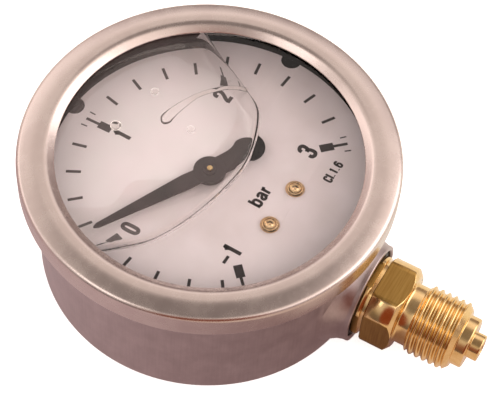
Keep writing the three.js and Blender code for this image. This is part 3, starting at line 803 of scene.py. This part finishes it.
def make_tube(bronze):
    """A C of oval tube: its outside from root to tip, then its bore back to the root."""
    steps = 120
    rings = []
    for section, order in ((oval(8, 3), range(steps + 1)), (oval(7.3, 2.3), range(steps, -1, -1))):
        for i in order:
            angle = math.radians(TUBE_ROOT + (TUBE_TIP - TUBE_ROOT) * i / steps)
            rings.append([((TUBE_R + a) * math.cos(angle), (TUBE_R + a) * math.sin(angle), STEM_Z + b)
                          for a, b in section])
    tube = build("bourdon_tube", lofted(rings, looped=True), sharp=40)
    tube.data.materials.append(bronze)
    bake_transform(tube)
    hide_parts("bourdon_tube")


# ---------- dial and its print ----------

def on_dial(points):
    """Points in the dial's own square frame, turned to where the dial stands."""
    return spun(points, DIAL_TURN)


def dial_outline(notch=1.9, count=40):
    """The dial's edge with a half-round notch at each quarter."""
    half = 2 * math.asin(notch / 2 / DIAL_R)
    points = []
    for quarter in range(4):
        middle = quarter * math.pi / 2
        x, y = DIAL_R * math.cos(middle), DIAL_R * math.sin(middle)
        start = middle + half
        end = middle + math.pi / 2 - half
        for i in range(17):
            turn = middle - math.pi / 2 - half / 2 - (math.pi - half) * i / 16
            points.append((x + notch * math.cos(turn), y + notch * math.sin(turn)))
        for i in range(1, count):
            angle = start + (end - start) * i / count
            points.append((DIAL_R * math.cos(angle), DIAL_R * math.sin(angle)))
    return points


def make_dial(lacquer):
    holes = [circle(0, 0, 1.6), circle(-SCREW_X, SCREW_Y, 1.0), circle(SCREW_X, SCREW_Y, 1.0)]
    outlines = [on_dial(points) for points in [dial_outline()] + holes]
    dial = plate("dial", outlines, DIAL_LOW, DIAL_TOP, bevel=0.06)
    finish_piece(dial, "case", "dial_white", lacquer, "dial")


def stroke(points, width, closed=False):
    """A pen stroke along a path as a thin raised solid."""
    count = len(points)
    left, right = [], []
    for i in range(count):
        before = points[i - 1 if closed else max(i - 1, 0)]
        after = points[(i + 1) % count if closed else min(i + 1, count - 1)]
        way = (Vector(after) - Vector(before)).normalized()
        side = Vector((-way.y, way.x)) * width / 2
        left.append(Vector(points[i]) + side)
        right.append(Vector(points[i]) - side)
    vertices = [(x, y, height) for height in (DIAL_TOP - 0.05, PRINT_TOP) for x, y in left + right]
    low_left, low_right, top_left, top_right = 0, count, 2 * count, 3 * count
    faces = []
    for i in range(count if closed else count - 1):
        j = (i + 1) % count
        faces.append([top_right + i, top_right + j, top_left + j, top_left + i])
        faces.append([low_left + i, low_left + j, low_right + j, low_right + i])
        faces.append([low_right + i, low_right + j, top_right + j, top_right + i])
        faces.append([low_left + j, low_left + i, top_left + i, top_left + j])
    if not closed:
        faces.append([low_left, low_right, top_right, top_left])
        last = count - 1
        faces.append([low_right + last, low_left + last, top_left + last, top_right + last])
    return vertices, faces


# Each figure's strokes in a cell of width 1 and height 1: (points, is a curve, is closed).
FIGURES = {
    "0": [([(0.5, 0), (0.86, 0.07), (1, 0.28), (1, 0.72), (0.86, 0.93), (0.5, 1), (0.14, 0.93), (0, 0.72),
            (0, 0.28), (0.14, 0.07)], True, True)],
    "1": [([(0.62, -0.03), (0.62, 1.08)], False, False),
          ([(0.56, 1.0), (0.36, 0.86), (0.0, 0.78)], True, False)],
    "2": [([(0.0, 0.70), (0.04, 0.90), (0.5, 1.0), (0.94, 0.90), (0.98, 0.68), (0.72, 0.46), (0.30, 0.22),
            (0.08, 0.0)], True, False),
          ([(-0.12, 0.0), (1.1, 0.0)], False, False)],
    "3": [([(0.0, 0.76), (0.06, 0.92), (0.5, 1.0), (0.92, 0.92), (0.96, 0.70), (0.80, 0.57), (0.40, 0.53)],
           True, False),
          ([(0.40, 0.53), (0.84, 0.49), (1.0, 0.30), (0.94, 0.08), (0.5, 0.0), (0.06, 0.08), (0.0, 0.27)],
           True, False)],
    "6": [([(0.98, 0.80), (0.86, 0.96), (0.5, 1.0), (0.12, 0.92), (0.0, 0.66), (0.0, 0.30)], True, False),
          ([(0.5, 0), (0.86, 0.06), (1, 0.22), (1, 0.42), (0.86, 0.57), (0.5, 0.62), (0.14, 0.57), (0, 0.42),
            (0, 0.22), (0.14, 0.06)], True, True)],
    ".": [([(0.5, -0.02), (0.5, 0.10)], False, False)],
    "C": [([(1.0, 0.72), (0.90, 0.93), (0.5, 1.0), (0.10, 0.93), (0.0, 0.72), (0.0, 0.28), (0.10, 0.07),
            (0.5, 0.0), (0.90, 0.07), (1.0, 0.28)], True, False)],
    "l": [([(0.5, -0.06), (0.5, 1.12)], False, False)],
    "b": [([(0.0, -0.08), (0.0, 1.52)], False, False),
          ([(0.5, 0), (0.88, 0.10), (1, 0.36), (1, 0.64), (0.88, 0.90), (0.5, 1), (0.12, 0.88), (0.0, 0.62),
            (0.0, 0.38), (0.12, 0.12)], True, True)],
    "a": [([(0.06, 0.76), (0.16, 0.94), (0.5, 1.0), (0.86, 0.92), (0.96, 0.70), (0.98, 0.36), (1.02, -0.06)],
           True, False),
          ([(0.92, 0.58), (0.45, 0.52), (0.06, 0.36), (0.04, 0.14), (0.30, 0.0), (0.66, 0.04), (0.92, 0.24)],
           True, False)],
    "r": [([(0.0, -0.08), (0.0, 1.08)], False, False),
          ([(0.04, 0.66), (0.28, 0.90), (0.75, 0.98)], True, False)],
}


# The scale's numbers: (figure, x and y of its middle, width of its pen line).
NUMBERS = [("3", 12.7, -12.8, 1.25), ("0", -17.1, 5.65, 1.15), ("1", -0.9, 18.0, 0.9),
           ("2", 16.5, 7.3, 1.25), ("1", -12.35, -12.2, 0.9)]
# Words: (height of their base line, height and width of the pen line, (letter, x, width) of each letter).
WORDS = [
    (-11.6, 1.55, 0.55, (("b", -2.15, 1.0), ("a", -0.45, 0.98), ("r", 1.30, 0.75))),
    (-19.62, 1.45, 0.41, (("C", 9.1, 0.62), ("l", 10.0, 0.3), (".", 10.55, 0.3), ("1", 11.35, 0.35),
                          (".", 12.15, 0.3), ("6", 12.9, 0.62))),
]


def figure(letter, x, y, width, height, pen):
    """One letter's strokes, with the lower left corner of its pen line's cell at x, y."""
    shapes = []
    for points, is_curve, closed in FIGURES[letter]:
        path = [(x + a * width, y + b * height) for a, b in points]
        if is_curve:
            path = spline(path, 5, closed)
        shapes.append(stroke(on_dial(path), pen, closed))
    return shapes


def bar_mark(angle, inner, outer, width):
    """A straight mark along a radius; angle is clockwise from 12 o'clock in the dial's frame."""
    turn = math.radians(90 - angle)
    along = (math.cos(turn), math.sin(turn))
    points = [(along[0] * r, along[1] * r) for r in (inner, outer)]
    return stroke(on_dial(points), width)


def scale_angle(value):
    """Clockwise degrees from 12 o'clock. The vacuum's last fifth of a bar is printed shorter."""
    return 225.0 if value < -0.9 else 288.3 + 68.9 * value


def make_print(ink):
    """The scale: a tick at each fifth, a block at each whole bar, and extra ticks at 1 and 3 bar."""
    shapes = []
    for fifth in range(-5, 16):
        angle = scale_angle(fifth / 5)
        if fifth % 5 == 0:
            shapes.append(bar_mark(angle, 20.4, 22.95, BLOCK_WIDTH))
            shapes.append(bar_mark(angle, 22.9, 25.6, BLOCK_TAIL_WIDTH))
        else:
            shapes.append(bar_mark(angle, 22.95, 25.65, TICK_WIDTH))
    for value in (1, 3):
        for side in (-3.45, 3.45):
            shapes.append(bar_mark(scale_angle(value) + side, 24.65, 25.85, LIMIT_TICK_WIDTH))
    height = FIGURE_HEIGHT - FIGURE_PEN
    for letter, x, y, width in NUMBERS:
        shapes += figure(letter, x - width / 2, y - height / 2, width, height, FIGURE_PEN)
    shapes.append(stroke(on_dial([(-15.4, -12.2), (-13.72, -12.2)]), MINUS_PEN))
    for base_line, height, pen, letters in WORDS:
        for letter, x, width in letters:
            shapes += figure(letter, x, base_line, width, height, pen)
    add_piece("dial_print", merged(shapes), "case", "pointer_black", ink)


def make_dial_screws(brass):
    for side, name in ((-SCREW_X, "dial_screw_left"), (SCREW_X, "dial_screw_right")):
        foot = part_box(name)[0].z / MM
        (x, y), = on_dial([(side, SCREW_Y)])
        profile = rounded([
            (0, foot), (0.55, foot), (0.9, foot + 0.3), (0.9, 21.53), (1.72, 21.53), (1.75, 21.75),
            (1.42, 22.2), (1.18, 22.23), (1.02, 21.98), (0.72, 21.93), (0.3, 22.06), (0, 22.1),
        ], [0, 0.1, 0.1, 0.02, 0.06, 0.1, 0.1, 0.08, 0.1, 0.12, 0.1, 0])
        shape = shifted(revolved(profile, segments=64), x, y)
        add_piece(name, shape, "case", "screw_brass", brass, name)


# ---------- pointer ----------

def make_pointer(lacquer):
    """A blade from its paddle-shaped tail to its point, a hub, and the bush in the hub."""
    needle = [(1.5, 0.5), (1.45, 2.0), (1.6, 5.0), (0.5, 22.8), (0.22, 23.5), (0, 23.7)]
    angles = [math.radians(degrees) for degrees in range(-90, 15, 8)]
    paddle = [(PADDLE_R * math.cos(angle), PADDLE_Y + PADDLE_R * math.sin(angle)) for angle in angles]
    waist = spline([paddle[-1], (2.3, -6.1), (1.97, -4.6), (1.9, -2.0)], 4, closed=False)
    right = paddle[:-1] + waist + needle
    outline = spun(right + [(-x, y) for x, y in right[-2:0:-1]], POINTER_REST)
    blade = plate("pointer", [outline, circle(0, 0, 1.2)], POINTER_LOW, POINTER_TOP, bevel=0.07)
    hub_profile = rounded([(1.26, 22.7), (2.95, 22.7), (2.95, 23.5), (1.26, 23.5)], [0.05, 0.1, 0.14, 0.05],
                          closed=True)
    hub = build("hub", revolved(hub_profile, closed=True, segments=96))
    combine(blade, "UNION", hub, sharp=35)
    finish_piece(blade, "pointer", "pointer_black", lacquer, "pointer")
    bush_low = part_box("pointer_bush")[0].z / MM
    bush_profile = rounded([(0.52, bush_low), (1.25, bush_low), (1.25, 23.75), (0.95, 23.75), (0.52, 23.68)],
                           [0.04, 0.06, 0.14, 0.1, 0.04], closed=True)
    bush = revolved(bush_profile, closed=True, segments=64)
    add_piece("pointer_bush", bush, "pointer", "pointer_black", lacquer, "pointer_bush")


# ---------- liquid ----------

# The bubble's edge in view, as pairs: where it meets the window, and the dry dial's edge below it.
BUBBLE = [
    ((26, 18), (20, 15.5)), ((21, 9.5), (20.5, 10.5)), ((16.5, 1.5), (17, 4.5)), ((13, -3), (13, 2)),
    ((3, -6), (6.5, 1.5)), ((-8, -4.5), (-3, 4.5)), ((-17.5, -1), (-8, 11)), ((-23, 3.5), (-14.5, 12)),
    ((-28, 11), (-18.5, 17.5)),
]
# Under the bezel both follow arcs: their radii, and the headings in degrees between the two ends.
HIDDEN_OUTER_R = 33
HIDDEN_INNER_R = 28
HIDDEN_HEADINGS = (140, 115, 90, 65, 45)
BUBBLE_MIDDLE = (0, 12)
LIQUID_TOP = 26.98
# Where drops and the streak touch the window, a hair below it.
CLING_Z = WINDOW_LOW - 0.01
# Lengths that set the meniscus: how far surface tension reaches, and how wide its curve is at most.
CAPILLARY = 2.3
CURVE_REACH = 6.0


def meniscus(width):
    """(inward, depth) pairs from the contact line over the bulge to the dry edge, width away."""
    reach = min(width, CURVE_REACH)
    gap = LIQUID_TOP - DIAL_TOP
    end_depth = gap - (width - reach) * 0.12  # the thin film beyond the curve slopes gently
    steep = (180, 165, 150, 135, 120, 105, 90, 75, 60, 48, 38, 30, 23, 17, 12, 8, 5)
    curve = []
    for degrees in steep:
        slope = math.radians(degrees)
        # The shape of a wide puddle's edge, with 0.5328 to put its bulge at 0 inward.
        inward = 0.5328 - 2 * math.cos(slope / 2) - math.log(math.tan(slope / 4))
        depth = 2 - 2 * math.sin(slope / 2)
        curve.append((inward * CAPILLARY * reach / CURVE_REACH, depth / 1.913 * end_depth))
    return curve + [(width, gap)]


def bubble_rings():
    """The air under the window as rings, from below the dial's face up into the glass."""
    angles = [math.radians(degrees) for degrees in HIDDEN_HEADINGS]
    ways = [Vector((math.cos(angle), math.sin(angle))) for angle in angles]
    outer = spline([pair[0] for pair in BUBBLE] + [way * HIDDEN_OUTER_R for way in ways], 18)
    inner = spline([pair[1] for pair in BUBBLE] + [way * HIDDEN_INNER_R for way in ways], 18)
    columns = []
    for a, b in zip(outer, inner):
        start, way = Vector(a), Vector(b) - Vector(a)
        curve = meniscus(way.length)
        way.normalize()
        columns.append([(*(start + way * inward), LIQUID_TOP - depth) for inward, depth in curve])
    rings = [list(ring) for ring in zip(*columns)][::-1]
    foot = [(x, y, DIAL_TOP - 0.4) for x, y, z in rings[0]]
    head = [(x, y, LIQUID_TOP + 0.5) for x, y, z in rings[-1]]
    return [foot] + rings + [head]


def make_liquid(liquid, wet):
    body = build("liquid", revolved([
        (0, 21.42), (26.9, 21.42), (26.9, 15), (30.35, 15), (30.35, 26.1), (28.97, 26.1), (28.97, LIQUID_TOP),
        (0, LIQUID_TOP),
    ]))
    bubble = build("bubble", lofted(bubble_rings()), sharp=60)
    combine(body, "DIFFERENCE", bubble, sharp=32)
    finish_piece(body, "case", "window_glass", liquid)
    body.data.materials.append(wet)
    for face in body.data.polygons:
        if face.normal.z > 0.99 and face.center.z > (LIQUID_TOP - 0.01) * MM:
            face.material_index = 1


def hanging_drop(x, y, radius, depth):
    """A drop that clings to the window's underside."""
    profile = [(0, CLING_Z - depth)]
    for i in range(1, 10):
        angle = math.pi / 2 * i / 10
        profile.append((radius * math.sin(angle), CLING_Z - depth * math.cos(angle) ** 0.8))
    profile += [(radius, CLING_Z), (0, CLING_Z)]
    return shifted(revolved(profile, segments=40), x, y)


def rivulet():
    """A streak of liquid left under the window where it ran back to the pool."""
    path = spline([(16.6, 1.6), (16.0, 3.6), (14.9, 5.4), (13.2, 7.1), (10.9, 8.8), (7.4, 10.2), (4.4, 11.0),
                   (2.3, 11.1)], 8, closed=False)
    rings = []
    for i, (x, y) in enumerate(path):
        before, after = Vector(path[max(i - 1, 0)]), Vector(path[min(i + 1, len(path) - 1)])
        way = (after - before).normalized()
        side = Vector((-way.y, way.x))
        to_end = (Vector(path[-1]) - Vector((x, y))).length
        widest = 0.45 + 0.75 * max(0.0, 1 - to_end / 9)
        half = widest * min(1.0, math.sqrt(to_end / 1.3) + 0.02)
        bulb = max(0.0, 1 - to_end / 3.5)
        depth = half * (0.25 + 0.75 * bulb)
        ring = []
        for k in range(17):
            angle = math.pi * k / 16
            offset = side * half * math.cos(angle)
            sag = depth * math.sin(angle) ** (0.4 + 0.4 * bulb)
            ring.append((x + offset.x, y + offset.y, CLING_Z - sag))
        rings.append(ring)
    return lofted(rings)


def make_drops(liquid, edged_liquid):
    drops = [hanging_drop(-2.4, 18.0, 1.05, 0.6), hanging_drop(7.7, 15.9, 0.8, 0.32),
             hanging_drop(3.7, 6.1, 0.75, 0.3)]
    for i, drop in enumerate(drops):
        add_piece(f"liquid_drop_{i + 1}", drop, "case", "window_glass", liquid, sharp=50)
    add_piece("liquid_streak", rivulet(), "case", "window_glass", edged_liquid, sharp=50)


# ---------- floor, light and camera ----------

# What the tent shows to mirrored rays, by how steeply they rise: 0 is level, 1 straight up.
TENT = [
    (0.0, (0.26, 0.19, 0.18)), (0.28, (0.34, 0.28, 0.27)), (0.45, (0.78, 0.68, 0.65)),
    (0.60, (1.04, 0.91, 0.87)), (0.80, (0.96, 0.83, 0.77)), (0.93, (0.33, 0.28, 0.26)),
    (1.0, (0.30, 0.25, 0.235)),
]
# Brighter panels of the tent: where they start and end along Y, their gain, and where they start
# and end in steepness.
PANELS = [(-0.15, -0.65, 0.75, -0.05, 0.1), (0.55, 0.85, 1.5, 0.62, 0.45)]
# The russet flag that the bezel's edge and the brass mirror.
FLAG_WAY = (-0.80, -0.47, 0.37)
FLAG_COLOUR = (0.24, 0.06, 0.028)

LIGHT_DISTANCE = 0.9
# Softboxes: (name, direction, width, height, watts, is seen in mirroring surfaces).
LIGHTS = [
    ("key", (0.5, -0.74, 0.44), 0.8, 0.6, 2.2, True),
    ("rim", (-0.1, 0.8, 0.6), 0.9, 0.8, 1.1, False),
    ("side", (0.45, -0.70, 0.55), 0.7, 0.6, 0.9, False),
    ("front", (-0.5, -0.234, 0.80), 0.55, 0.55, 0.95, False),
    ("gleam", (-0.52, 0.32, 0.79), 0.36, 0.30, 0.5, True),
    ("fill", (-0.35, -0.16, 0.9), 0.5, 0.5, 0.75, False),
]


def studio_floor():
    """A pale floor. Mirrored rays see a painted reflection on it: rose and russet near the gauge as painted
    shade, and light further out.
    """
    reach = 3.0
    corners = [(-reach, -reach, 0), (reach, -reach, 0), (reach, reach, 0), (-reach, reach, 0)]
    mesh = bpy.data.meshes.new("floor")
    mesh.from_pydata(corners, [], [(0, 1, 2, 3)])
    floor = linked("floor", mesh)
    floor.location.z = -0.02 * MM
    finish = Finish("pale studio floor")
    base = finish.colours(finish.noise(60, detail=2), (0.90, 0.885, 0.88), (0.93, 0.915, 0.91))
    diffuse = finish.node("ShaderNodeBsdfDiffuse", {"Color": base}).outputs[0]
    lift = finish.node("ShaderNodeEmission", {"Color": (1, 0.99, 0.985, 1), "Strength": 0.75}).outputs[0]
    seen = finish.node("ShaderNodeAddShader", {0: diffuse, 1: lift}).outputs[0]
    # Painted reflection, seen only by mirrored rays: a glow from rose to dark russet across the floor by the
    # gauge, standing in for its shade, and lighter further out.
    across = finish.vector("DOT_PRODUCT", finish.place, (0.484, -0.874, 0))
    x, y, _ = finish.parts(finish.place)
    tone = finish.colours(finish.range(across, -0.035, 0.045), (0.60, 0.45, 0.45), (0.19, 0.095, 0.085))
    tone = finish.colours(finish.range(y, -0.044, -0.050), tone, (0.74, 0.56, 0.47))
    tone = finish.colours(finish.range(x, 0.005, 0.014), tone, (1.0, 0.90, 0.80))
    mirrored = finish.node("ShaderNodeEmission", {"Color": tone}).outputs[0]
    glossy = finish.node("ShaderNodeLightPath").outputs["Is Glossy Ray"]
    floor.data.materials.append(finish.done(finish.mixed(glossy, seen, mirrored)))


def studio_world():
    """A tent for mirrored rays and for light, and plain white where the camera sees past the floor."""
    world = bpy.data.worlds.new("studio")
    bpy.context.scene.world = world
    sky = Nodes(world)
    way = sky.node("ShaderNodeTexCoord").outputs["Generated"]
    _, across, height = sky.parts(way)
    ramp = sky.node("ShaderNodeValToRGB", {0: height})
    stops = ramp.color_ramp.elements
    stops[0].color = (*TENT[0][1], 1)
    stops[1].color = (*TENT[-1][1], 1)
    for position, colour in TENT[1:-1]:
        stops.new(position).color = (*colour, 1)
    level = sky.maths("ADD", sky.vector("DOT_PRODUCT", way, (0.30, 0.11, 0.0)), 0.86)
    for start, end, gain, low, high in PANELS:
        panel = sky.range(across, start, end, 0.0, gain)
        level = sky.plus(level, panel, sky.range(height, low, high))
    tent = sky.node("ShaderNodeVectorMath", {0: ramp.outputs[0], 3: level}, operation="SCALE").outputs[0]
    flag = sky.vector("DOT_PRODUCT", way, Vector(FLAG_WAY).normalized())
    tent = sky.colours(sky.range(flag, 0.84, 0.92), tent, FLAG_COLOUR)
    tent = sky.node("ShaderNodeBackground", {"Color": tent}).outputs[0]
    white = sky.node("ShaderNodeBackground", {"Color": (1, 1, 1, 1)}).outputs[0]
    seen = sky.node("ShaderNodeLightPath").outputs["Is Camera Ray"]
    sky.node("ShaderNodeOutputWorld", {"Surface": sky.mixed(seen, tent, white)})


def softbox(name, direction, width, height, watts, mirrored):
    """A rectangular light that looks at the gauge's middle."""
    light = bpy.data.lights.new(name, "AREA")
    light.shape = "RECTANGLE"
    light.size = width
    light.size_y = height
    light.energy = watts
    light.color = (1.0, 0.92, 0.90)
    box = linked(name, light)
    away = Vector(direction).normalized()
    box.location = away * LIGHT_DISTANCE
    box.rotation_euler = away.to_track_quat("Z", "Y").to_euler()
    box.visible_glossy = mirrored


def studio_camera():
    """The viewpoint, a third of a metre away, so the perspective is strong."""
    right = Vector((0.4841, -0.8738, 0.045))
    down = Vector((-0.7177, -0.426, -0.5508))
    ahead = Vector((0.5005, 0.2344, -0.8334))
    camera = bpy.data.cameras.new("camera")
    camera.sensor_width = 36
    camera.lens = 118.171
    camera.clip_start = 0.01
    holder = linked("camera", camera)
    turn = Matrix((right, -down, -ahead)).transposed().to_4x4()
    holder.matrix_world = Matrix.Translation(Vector((-146.6995, -77.0723, 264.9538)) * MM) @ turn
    bpy.context.scene.camera = holder


# ---------- the scene ----------

GLASS_TINT = (0.97, 0.985, 0.975)
LIQUID_TINT = (0.985, 0.965, 0.955)
WET_SHADE = (0.90, 0.885, 0.885)

brass = turned_brass()
screw_brass = sheet_metal("screw brass", (0.72, 0.46, 0.23), (0.93, 0.68, 0.41), 0.22)
movement_brass = sheet_metal("rolled movement brass", (0.60, 0.40, 0.16), (0.80, 0.58, 0.28), 0.28)
bronze = sheet_metal("drawn tube bronze", (0.50, 0.27, 0.13), (0.70, 0.42, 0.22), 0.30)
spring = sheet_metal("spring steel", (0.42, 0.41, 0.42), (0.60, 0.59, 0.60), 0.22, 0.2)
rubber = moulded_rubber()

glass = clear("window glass", 1.40, GLASS_TINT, smudge=0.012)
fogged_glass = clear("fogged window glass", 1.40, GLASS_TINT, smudge=0.012, fog=0.038)
wetted_glass = wetted("wetted window glass", 1.40, (0.98, 0.98, 0.98), (1, 1, 1))
glycerine = clear("damping liquid", 1.47, LIQUID_TINT, flat_shade=WET_SHADE, steep_shade=(0.42, 0.38, 0.38))
covered_glycerine = wetted("covered damping liquid", 1.47, LIQUID_TINT, WET_SHADE)
drop_glycerine = clear("glycerine drops", 1.47, LIQUID_TINT)
# The streak's steep edges are painted dark, a painted shade.
streak_glycerine = clear("glycerine streak", 1.47, LIQUID_TINT, edge=(0.10, 0.07, 0.065))

INNER_FINISHES = {
    movement_brass: ["back_plate", "front_plate", "pillar_right", "pillar_lower", "pillar_upper",
                     "sector_gear", "sector_arbor", "tail_pin", "link", "tip_pin", "pinion_arbor",
                     "hairspring_collet", "hairspring_stud", "dial_post_left", "dial_post_right"],
    screw_brass: ["plate_screw_right", "plate_screw_lower", "plate_screw_upper", "restrictor"],
    bronze: ["tube_end"],
    spring: ["hairspring"],
}
for inner_finish, names in INNER_FINISHES.items():
    for name in names:
        for material_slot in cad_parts[name].material_slots:
            material_slot.material = inner_finish

make_case(drawn_steel())
make_bezel(satin_steel())
make_window(glass, wetted_glass, fogged_glass)
make_gasket(rubber)
make_plug(rubber)
make_socket(brass)
make_socket_seal(rubber)
make_tube(bronze)
make_dial(dial_lacquer())
make_print(printing_ink())
make_dial_screws(screw_brass)
make_pointer(pointer_lacquer())
make_liquid(glycerine, covered_glycerine)
make_drops(drop_glycerine, streak_glycerine)

studio_floor()
studio_world()
for light in LIGHTS:
    softbox(*light)
studio_camera()
bpy.context.scene.view_settings.view_transform = "Standard"
